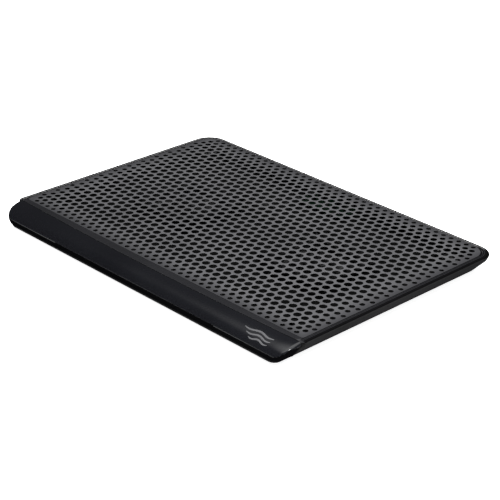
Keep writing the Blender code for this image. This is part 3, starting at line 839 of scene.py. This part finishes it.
def railSide(z):
    return railHigh.x - railLook["endInset"] - railLook["lean"] * leanIn(z)


def railBow(share, x):                   # the seam's bow fades out towards the nose
    return seamShift(x) * max(0, 1 - share / railLook["noseShare"]) ** 1.5


def railPoint(share, x):
    point, out = railProfile(share)
    point.x = x
    point.y += railBow(share, x)
    return point, out


def makeRail():
    look = railLook
    bm = bmesh.new()
    stations = []
    for step in range(look["endSteps"] + 1):
        stations.append((-1, math.pi / 2 * (1 - step / look["endSteps"])))
    for step in range(1, look["alongSteps"]):
        stations.append((-1 + 2 * step / look["alongSteps"], 0.0))
    for step in range(look["endSteps"] + 1):
        stations.append((1, math.pi / 2 * step / look["endSteps"]))
    corner = Vector((0, railHigh.y, railLow.z))
    rings = []
    for along, turn in stations:
        sweep, draw = look["leftSweep"] if along < 0 and turn > 0 else (0, 0)
        ring = []
        for step in range(look["profileSteps"] + 1):
            share = step / look["profileSteps"]
            point, out = railProfile(share)
            radius = look["endRadius"][0] + (look["endRadius"][1] - look["endRadius"][0]) * share
            point = point - out * radius * (1 - math.cos(turn))
            point.y += (railHigh.y - point.y) * draw * (1 - math.cos(turn))
            radius += sweep * (0.45 + 0.55 * share)
            point.x = along * (railSide(point.z) - radius * (1 - math.sin(turn)))
            point.y += railBow(share, point.x)
            ring.append(bm.verts.new(point))
        back = corner.copy()
        back.x = along * (railSide(corner.z) - (look["endRadius"][1] + sweep) * (1 - math.sin(turn)))
        ring.append(bm.verts.new(back))
        ledge = Vector((ring[0].co.x, railHigh.y, rimZ - 0.5 * mm))
        ring.append(bm.verts.new(ledge))
        ring.append(bm.verts.new((ledge.x, ring[0].co.y, rimZ - 0.4 * mm)))
        rings.append(ring)
    for a, b in zip(rings, rings[1:]):
        for i in range(len(a)):
            j = (i + 1) % len(a)
            bm.faces.new((a[i], a[j], b[j], b[i]))
    bm.faces.new(rings[0])
    bm.faces.new(rings[-1])
    bmesh.ops.recalc_face_normals(bm, faces=bm.faces)
    # down-facing faces and the ends go near-black matte: painted shade in place of the floor's reflection
    for face in bm.faces:
        face.material_index = 1 if face.normal.z < look["shadeBelow"] else 0
    mesh = meshFrom("frontRail", bm, 50)
    made = addPiece("frontRail", mesh, railSatin)
    made.data.materials.append(railUnderShade)
    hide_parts("front_rail")
    print("front rail")


makeRail()


# emblem: slanted air strokes printed near the rail's right end

emblemLook = {
    "strokes": 3,
    "middleX": 152 * mm,
    "length": 17 * mm,                   # half the length of the longest stroke
    "shorter": 3 * mm,                   # what each next stroke loses
    "slant": 5 * mm,                     # how far each next stroke starts to the right
    "firstRow": 0.26,                    # shares round the rail's profile
    "rowGap": 0.12,
    "swing": 0.030,
    "halfWide": 0.030,
    "waves": 1.5,
    "proud": 0.03 * mm,
}


def makeEmblem():
    look = emblemLook
    bm = bmesh.new()
    for row in range(look["strokes"]):
        middle = look["firstRow"] + look["rowGap"] * row
        length = look["length"] - look["shorter"] * row
        start = look["middleX"] - look["length"] + look["slant"] * row
        strip = []
        for i in range(33):
            along = i / 32
            x = start + 2 * length * along
            slope = look["swing"] * math.sin(2 * math.pi * along * look["waves"])
            half = look["halfWide"] * math.sin(math.pi * min(1, max(0, along))) ** 0.35
            pair = []
            for side in (-1, 1):
                point, out = railPoint(middle + slope + side * half, x)
                point = point + out * look["proud"]
                pair.append(bm.verts.new(point))
            strip.append(pair)
        for a, b in zip(strip, strip[1:]):
            bm.faces.new((a[0], b[0], b[1], a[1]))
    bmesh.ops.remove_doubles(bm, verts=bm.verts, dist=0.01 * mm)
    made = addPiece("emblemStrokes", meshFrom("emblemStrokes", bm), inkSilver)
    ink = made.modifiers.new("ink film", "SOLIDIFY")
    ink.thickness = 0.05 * mm
    ink.offset = 0
    print("emblem")


makeEmblem()


# lower shell

shellLook = {
    "wall": 2 * mm,
    "floorTop": shellLow.z + 2 * mm,
    "tongueY": -135.3 * mm,
    "tongueCorner": 7.0 * mm,
    "farRadius": frameLook["farRadius"],
    "baseRound": 0.6 * mm,
    "lipDrop": 1.15 * mm,                # the lip that wraps the frame's rim
    "lipWide": 1.65 * mm,
    "slotRows": 6,                       # each side of the middle slot
    "slotPitch": 5.0 * mm,
    "slotHalf": 1.35 * mm,
    "slotReach": 33 * mm,
    "screwInset": 35.75 * mm,
    "screwHole": 1.7 * mm,
    "footSeat": 7.3 * mm,
    "headSeat": 3.0 * mm,
}


def shellLoop(z, inset, near, nearRadius):
    return (roundedLoop(sideAt(z) - inset, near, farAt(z) - inset, nearRadius,
                        shellLook["farRadius"] - inset), z)


def makeShell():
    look = shellLook
    wall = look["wall"]
    floorTop = look["floorTop"]
    rim = shellHigh.z
    lip = topZ - look["lipDrop"]
    seam = seamY
    base = shellLow.z
    small = look["baseRound"]
    loops = [
        shellLoop(floorTop, wall + 0.6 * mm, seam + wall + 0.6 * mm, 3 * mm),
        shellLoop(floorTop + 0.6 * mm, wall, seam + wall, 3 * mm),
        shellLoop(rim, wall, seam + wall, 4 * mm),
        shellLoop(rim, look["lipWide"], seam + look["lipWide"], 5 * mm),
        shellLoop(lip - 0.2 * mm, look["lipWide"], seam + look["lipWide"], 5 * mm),
        shellLoop(lip, look["lipWide"] - 0.2 * mm, seam + look["lipWide"], 5 * mm),
        shellLoop(lip, 0.5 * mm, seam + 0.5 * mm, 6 * mm),
        shellLoop(lip - 0.15 * mm, 0.15 * mm, seam + 0.15 * mm, 6 * mm),
        shellLoop(lip - 0.5 * mm, 0, seam, 6 * mm),
        shellLoop(rim - 1.5 * mm, 0, seam, 6 * mm),
        shellLoop(floorTop + 0.15 * mm, 0, seam, 6 * mm),
        shellLoop(floorTop, 0.0, look["tongueY"], look["tongueCorner"]),
        shellLoop(base + small, 0, look["tongueY"], look["tongueCorner"]),
        shellLoop(base + 0.25 * small, 0.25 * small, look["tongueY"] + 0.25 * small,
                  look["tongueCorner"]),
        shellLoop(base, small, look["tongueY"] + small, look["tongueCorner"]),
    ]
    bm = bmesh.new()
    loftLoops(bm, loops, caps=True)
    made = addPiece("lowerShell", meshFrom("lowerShell", bm, 40), shellGrain)
    tool = bmesh.new()
    for side in (-1, 1):
        for row in range(-look["slotRows"], look["slotRows"] + 1):
            half = math.sqrt(look["slotReach"] ** 2 - (row * look["slotPitch"]) ** 2)
            y = fanY + row * look["slotPitch"]
            slotInto(tool, side * fanX - half, side * fanX + half, y, look["slotHalf"],
                     base - mm, floorTop + mm)
        for dx in (-look["screwInset"], look["screwInset"]):
            for dy in (-look["screwInset"], look["screwInset"]):
                rodInto(tool, side * fanX + dx, fanY + dy, look["screwHole"], base - mm,
                        floorTop + mm, 20)
    for number in range(1, 5):
        seat = middleOf(f"foot_{number}")
        rodInto(tool, seat.x, seat.y, look["footSeat"], base - mm, base + mm, 48)
    for number in range(1, 5):
        seat = middleOf(f"shell_screw_{number}")
        rodInto(tool, seat.x, seat.y, look["headSeat"], base - mm, base + 1.2 * mm, 28)
    inletLow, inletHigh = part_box("power_inlet")
    knobLow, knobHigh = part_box("switch_knob")
    cubeInto(tool, (inletLow.x - 0.2 * mm, farAt(base) - 3 * mm, inletLow.z - 0.2 * mm),
             (inletHigh.x + 0.2 * mm, shellHigh.y + mm, inletHigh.z + 0.2 * mm))
    cubeInto(tool, (knobLow.x - 0.4 * mm, farAt(base) - 3 * mm, knobLow.z - 0.4 * mm),
             (knobHigh.x + 3.4 * mm, shellHigh.y + mm, knobHigh.z + 0.4 * mm))
    cubeInto(tool, (knobLow.x - 1.6 * mm, farAt(knobLow.z) - 0.7 * mm, knobLow.z - 1.4 * mm),
             (knobHigh.x + 4.6 * mm, shellHigh.y + mm, knobHigh.z + 1.4 * mm))
    cutWith(made, tool, 40)
    made.data.materials.append(shellInsideShade)
    # faces inside the case take the darker copy: painted shade inside the shell
    for face in made.data.polygons:
        middle = face.center
        inner = abs(middle.x) < sideAt(middle.z) - 0.5 * wall and middle.y < farAt(middle.z) - 0.5 * wall
        if inner and middle.y > seam + 0.5 * wall and middle.z > floorTop - 0.05 * mm:
            face.material_index = 1
    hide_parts("lower_shell")
    print("lower shell")


makeShell()


# screw posts and gussets under the plate's corners

postLook = {
    "foot": 3.8 * mm,
    "top": 3.4 * mm,
    "bore": 1.4 * mm,
    "dimple": 1.7 * mm,
    "dimpleDepth": 0.8 * mm,
    "under": 0.3 * mm,                   # gap below the plate
    "gussetHalf": 2.2 * mm,
    "gussetDrop": 1.1 * mm,
}


def makePosts():
    look = postLook
    top = plateLow.z - look["under"]
    foot = shellLook["floorTop"] + 0.3 * mm
    gussets = bmesh.new()
    for number in range(1, 5):
        x, y, ground = middleOf(f"shell_screw_{number}")
        profile = [(0, rimZ - mm), (look["bore"], rimZ - mm), (look["bore"], foot), (look["foot"], foot),
                   (look["top"], top - 0.3 * mm), (look["top"] - 0.3 * mm, top),
                   (look["dimple"] + 0.3 * mm, top), (look["dimple"], top - 0.3 * mm),
                   (look["dimple"], top - look["dimpleDepth"]), (0, top - look["dimpleDepth"])]
        post = turnedPiece(f"framePost{number}", profile, Vector((x, y, ground)), glossTrim, 32)
        half = look["gussetHalf"]
        low = top - look["gussetDrop"]
        side = math.copysign(1, x)
        edgeX = side * (plateHigh.x - 5.2 * mm)
        starts = sorted((x + side * 2.6 * mm, edgeX))
        cubeInto(gussets, (starts[0], y - half, low), (starts[1], y + half, top - 0.1 * mm))
        edgeY = plateHigh.y - 5.2 * mm if y > 0 else plateLow.y + 5.2 * mm
        starts = sorted((y + math.copysign(2.6 * mm, y), edgeY))
        cubeInto(gussets, (x - half, starts[0], low), (x + half, starts[1], top - 0.1 * mm))
    webs = addPiece("frameGussets", meshFrom("frameGussets", gussets), glossTrim)
    softenEdges(webs, 0.25 * mm)
    print("posts and gussets")


makePosts()


# fans

fanLook = {
    "corner": 4.5 * mm,
    "flange": 2.6 * mm,
    "ringOuter": 39.3 * mm,
    "bore": 37.4 * mm,
    "flare": 1.4 * mm,
    "spiderHub": 15.8 * mm,
    "spiderThick": 1.7 * mm,
    "strutHalf": 1.7 * mm,
    "struts": 4,
    "strutTurn": 20,
    "screwInset": shellLook["screwInset"],
    "blades": 7,
    "hubRadius": 15.2 * mm,
    "tip": 35.6 * mm,
    "bladeThick": 1.1 * mm,
    "bladeSweep": 26,                    # degrees the tip leads the root
}


def makeFanFrame(name, centre):
    look = fanLook
    low = fanLow.z
    high = fanHigh.z
    half = (fanHigh.x - fanLow.x) / 2
    square = roundedLoop(half, -half, half, look["corner"], look["corner"])

    def ring(radius):
        return [(radius * x / math.hypot(x, y), radius * y / math.hypot(x, y)) for x, y in square]

    soft = roundedLoop(half - 0.3 * mm, -half + 0.3 * mm, half - 0.3 * mm, look["corner"], look["corner"])
    flange = look["flange"]
    bore = look["bore"]
    flare = look["flare"]
    loops = [(soft, low), (square, low + 0.3 * mm), (square, low + flange),
             (ring(look["ringOuter"]), low + flange + 0.4 * mm),
             (ring(look["ringOuter"]), high - flange - 0.4 * mm), (square, high - flange),
             (square, high - 0.3 * mm), (soft, high), (ring(bore + flare), high),
             (ring(bore + 0.3 * flare), high - 0.5 * flare), (ring(bore), high - 1.4 * flare),
             (ring(bore), low + 1.4 * flare), (ring(bore + 0.3 * flare), low + 0.5 * flare),
             (ring(bore + flare), low)]
    bm = bmesh.new()
    loftLoops(bm, loops, closed=True)
    spider = low + look["spiderThick"]
    rodInto(bm, 0, 0, look["spiderHub"], low, spider, 56)
    rodInto(bm, 0, 0, 3.7 * mm, low + 0.1 * mm, low + 8.4 * mm, 28)
    for strut in range(look["struts"]):
        turn = Matrix.Rotation(math.radians(look["strutTurn"] + 360 * strut / look["struts"]), 4, "Z")
        wide = look["strutHalf"] * (1.8 if strut == 0 else 1)
        cubeInto(bm, (look["spiderHub"] - 2 * mm, -wide, low + 0.05 * mm),
                 (bore + 0.8 * mm, wide, spider - 0.05 * mm), turn)
    made = addPiece(name, meshFrom(name, bm, 35), fanBlack)
    tool = bmesh.new()
    rodInto(tool, 0, 0, 2.8 * mm, low - mm, low + 10 * mm, 24)
    inset = look["screwInset"]
    for x in (-inset, inset):
        for y in (-inset, inset):
            rodInto(tool, x, y, 2.1 * mm, low - mm, high + mm, 24)
    cutWith(made, tool, 35)
    made.data.transform(Matrix.Translation((centre, fanY, 0)))
    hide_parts(name.replace("FanFrame", "_fan_frame"))


def bladeInto(bm, turn, low, high):
    look = fanLook
    sections = []
    steps = 9
    for step in range(steps + 1):
        share = step / steps
        radius = look["hubRadius"] - 0.6 * mm + (look["tip"] - look["hubRadius"] + 0.6 * mm) * share
        pitch = math.radians(50 - 20 * share)
        sweep = math.radians(look["bladeSweep"] * share ** 1.4)
        rise = (high - low) / 2 - 0.4 * mm * share
        middle = (high + low) / 2
        top = []
        under = []
        for i in range(9):
            chord = -1 + i / 4
            run = chord * rise / math.tan(pitch)
            sag = 0.9 * mm * (1 - chord * chord)
            thick = look["bladeThick"] * (1 - 0.75 * chord * chord) / 2
            for side, points in ((1, top), (-1, under)):
                shift = run + (sag + side * thick) * math.sin(pitch)
                z = middle + chord * rise - (sag + side * thick) * math.cos(pitch) * 0.5
                z = min(high, max(low, z))
                angle = turn + sweep + shift / radius
                points.append(Vector((radius * math.cos(angle), radius * math.sin(angle), z)))
        sections.append([bm.verts.new(point) for point in top + under[::-1]])
    for a, b in zip(sections, sections[1:]):
        for i in range(len(a)):
            j = (i + 1) % len(a)
            bm.faces.new((a[i], a[j], b[j], b[i]))
    bm.faces.new(sections[0])
    bm.faces.new(sections[-1])


def makeImpeller(name, centre, body):
    look = fanLook
    low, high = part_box(name.replace("Impeller", "_impeller"))
    hub = look["hubRadius"]
    inside = 14.0 * mm
    place = Vector((centre, fanY, 0))
    cup = [(0, high.z - 1.2 * mm), (inside - mm, high.z - 1.2 * mm), (inside, high.z - 2.2 * mm),
           (inside, low.z), (hub - 0.3 * mm, low.z), (hub, low.z + 0.3 * mm),
           (hub, high.z - 1.4 * mm), (hub - 0.5 * mm, high.z - 0.4 * mm), (hub - 1.4 * mm, high.z),
           (9.0 * mm, high.z), (8.6 * mm, high.z - 0.25 * mm), (3.0 * mm, high.z - 0.25 * mm),
           (2.6 * mm, high.z), (0, high.z)]
    made = turnedPiece(name, cup, place, fanBlack, 64, body, 30)
    bm = bmesh.new()
    bm.from_mesh(made.data)
    blades = bmesh.new()
    for blade in range(look["blades"]):
        bladeInto(blades, 2 * math.pi * blade / look["blades"], low.z + 0.2 * mm, high.z - 0.3 * mm)
    bmesh.ops.translate(blades, verts=blades.verts, vec=place)
    bladeMesh = meshFrom("blades", blades)
    bm.from_mesh(bladeMesh)
    bm.to_mesh(made.data)
    bm.free()
    bpy.data.meshes.remove(bladeMesh)
    shadeMesh(made.data, 35)
    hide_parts(name.replace("Impeller", "_impeller"))


for sideName, centre in (("left", -fanX), ("right", fanX)):
    makeFanFrame(f"{sideName}FanFrame", centre)
    makeImpeller(f"{sideName}Impeller", centre, f"{sideName}_rotor")
print("fans")


# feet and screws

smallLook = {
    "footRound": 0.7 * mm,
    "grooves": (2.2 * mm, 4.4 * mm),
    "grooveHalf": 0.35 * mm,
    "grooveDeep": 0.45 * mm,
    "shank": 1.2 * mm,
    "crossHalf": 0.32 * mm,
    "crossReach": 1.55 * mm,
    "crossDeep": 0.6 * mm,
}


def makeFoot(node):
    look = smallLook
    low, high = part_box(node)
    radius = (high.x - low.x) / 2
    soft = look["footRound"]
    profile = [(0, low.z)]
    for groove in look["grooves"]:
        profile += [(groove - look["grooveHalf"], low.z),
                    (groove - 0.6 * look["grooveHalf"], low.z + look["grooveDeep"]),
                    (groove + 0.6 * look["grooveHalf"], low.z + look["grooveDeep"]),
                    (groove + look["grooveHalf"], low.z)]
    for step in range(5):
        angle = math.radians(90 * step / 4)
        profile.append((radius - soft + soft * math.sin(angle), low.z + soft - soft * math.cos(angle)))
    profile += [(radius, high.z), (0, high.z)]
    made = turnedPiece(node.replace("_", ""), profile, middleOf(node), footRubber, 56)
    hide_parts(node)


def makeScrew(node, headUp, headThick):
    look = smallLook
    low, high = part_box(node)
    head = (high.x - low.x) / 2
    long = high.z - low.z
    shank = look["shank"]
    profile = [(0, 0), (0.5 * shank, 0), (shank, 0.8 * mm), (shank, long - headThick),
               (head, long - headThick), (head, long - 0.45 * headThick),
               (0.9 * head, long - 0.15 * headThick), (0.72 * head, long), (0, long)]
    first, *words = node.split("_")
    name = first + "".join(word.capitalize() for word in words)
    made = turnedPiece(name, profile, Vector((0, 0, 0)), blackSteel, 28)
    tool = bmesh.new()
    reach = look["crossReach"]
    half = look["crossHalf"]
    cubeInto(tool, (-reach, -half, long - look["crossDeep"]), (reach, half, long + mm))
    cubeInto(tool, (-half, -reach, long - look["crossDeep"] + 0.02 * mm), (half, reach, long + mm))
    cutWith(made, tool, 30)
    if not headUp:
        made.data.transform(Matrix.Rotation(math.pi, 4, "X"))
        made.data.transform(Matrix.Translation((0, 0, long)))
    made.data.transform(Matrix.Translation(middleOf(node) + Vector((0, 0, low.z))))
    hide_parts(node)


for number in range(1, 5):
    makeFoot(f"foot_{number}")
    makeScrew(f"shell_screw_{number}", False, 1.0 * mm)
    for sideName in ("left", "right"):
        makeScrew(f"{sideName}_fan_screw_{number}", True, 1.8 * mm)
for number in (1, 2):
    makeScrew(f"board_screw_{number}", True, 1.5 * mm)
print("feet and screws")


# switch knob with grip ribs and a shutter behind the slot

def makeKnob():
    low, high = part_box("switch_knob")
    bm = bmesh.new()
    cubeInto(bm, low, (high.x, high.y - 0.6 * mm, high.z))
    ribs = 4
    pitch = (high.x - low.x) / ribs
    for rib in range(ribs):
        start = low.x + pitch * (rib + 0.2)
        cubeInto(bm, (start, high.y - 0.9 * mm, low.z + 0.15 * mm),
                 (start + 0.55 * pitch, high.y, high.z - 0.15 * mm))
    middle = (low.x + high.x) / 2
    shutter = farAt(low.z) - shellLook["wall"] - 1.1 * mm
    cubeInto(bm, (middle - 5.2 * mm, shutter, low.z - 1.0 * mm),
             (middle + 9.0 * mm, shutter + 0.5 * mm, high.z + 1.0 * mm))
    made = addPiece("switchKnob", meshFrom("switchKnob", bm), knobBlack, "switch_slider")
    softenEdges(made, 0.12 * mm)
    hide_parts("switch_knob")
    print("knob")


makeKnob()


# power inlet: a folded sleeve with a contact tongue

def makeInlet():
    low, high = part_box("power_inlet")
    sheet = 0.4 * mm
    mouth = farAt(low.z) - 0.5 * mm
    bm = bmesh.new()
    cubeInto(bm, low, (high.x, mouth, high.z))
    made = addPiece("powerInlet", meshFrom("powerInlet", bm), blackSteel)
    tool = bmesh.new()
    cubeInto(tool, (low.x + sheet, low.y + 5 * mm, low.z + sheet),
             (high.x - sheet, mouth + mm, high.z - sheet))
    cutWith(made, tool)
    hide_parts("power_inlet")
    tongue = bmesh.new()
    cubeInto(tongue, (low.x + 1.6 * mm, low.y + 4.9 * mm, low.z + 1.5 * mm),
             (high.x - 1.6 * mm, mouth - 1.2 * mm, low.z + 2.3 * mm))
    contact = addPiece("inletTongue", meshFrom("inletTongue", tongue), knobBlack)
    print("power inlet")


makeInlet()


# small parts on the power board

def makeBoardParts():
    low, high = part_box("power_board")
    top = high.z
    bm = bmesh.new()
    cubeInto(bm, (-3.2 * mm, 108 * mm, top), (3.2 * mm, 113 * mm, top + 1.5 * mm))
    for x in (-27.0 * mm, 20.8 * mm):
        cubeInto(bm, (x, 114.5 * mm, top), (x + 6.2 * mm, 119 * mm, top + 3.4 * mm))
    for x in (-8, -5, 6, 9, 12):
        cubeInto(bm, (x * mm, 103 * mm, top), ((x + 1.7) * mm, 104 * mm, top + 0.6 * mm))
    made = addPiece("boardParts", meshFrom("boardParts", bm), knobBlack)
    softenEdges(made, 0.12 * mm)
    for number, x in enumerate((-14, 14)):
        can = [(0, top), (2.5 * mm, top), (2.5 * mm, top + 0.6 * mm), (2.35 * mm, top + 0.9 * mm),
               (2.5 * mm, top + 1.2 * mm), (2.5 * mm, top + 5.0 * mm), (2.2 * mm, top + 5.4 * mm),
               (0, top + 5.4 * mm)]
        drum = turnedPiece(f"capacitor{number}", can, Vector((x * mm, 109 * mm, 0)), blackSteel, 28)
    print("board parts")


makeBoardParts()


# carried-over nodes take their finish here

nodeFinish = [
    ("fan_frame", fanBlack), ("impeller", fanBlack), ("shaft", zincSteel), ("bearing", bronze),
    ("stator", copperWire), ("magnet", magnetDark), ("screw", blackSteel), ("foot", footRubber),
    ("lead", leadJacket), ("power_board", boardMask), ("power_inlet", blackSteel),
    ("switch_body", blackSteel), ("switch_knob", knobBlack),
]
for nodeName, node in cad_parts.items():
    softenEdges(node, 0.12 * mm, 40)
    for word, material in nodeFinish:
        if word in nodeName:
            node.data.materials.clear()
            node.data.materials.append(material)
            break
print("carried-over nodes finished")
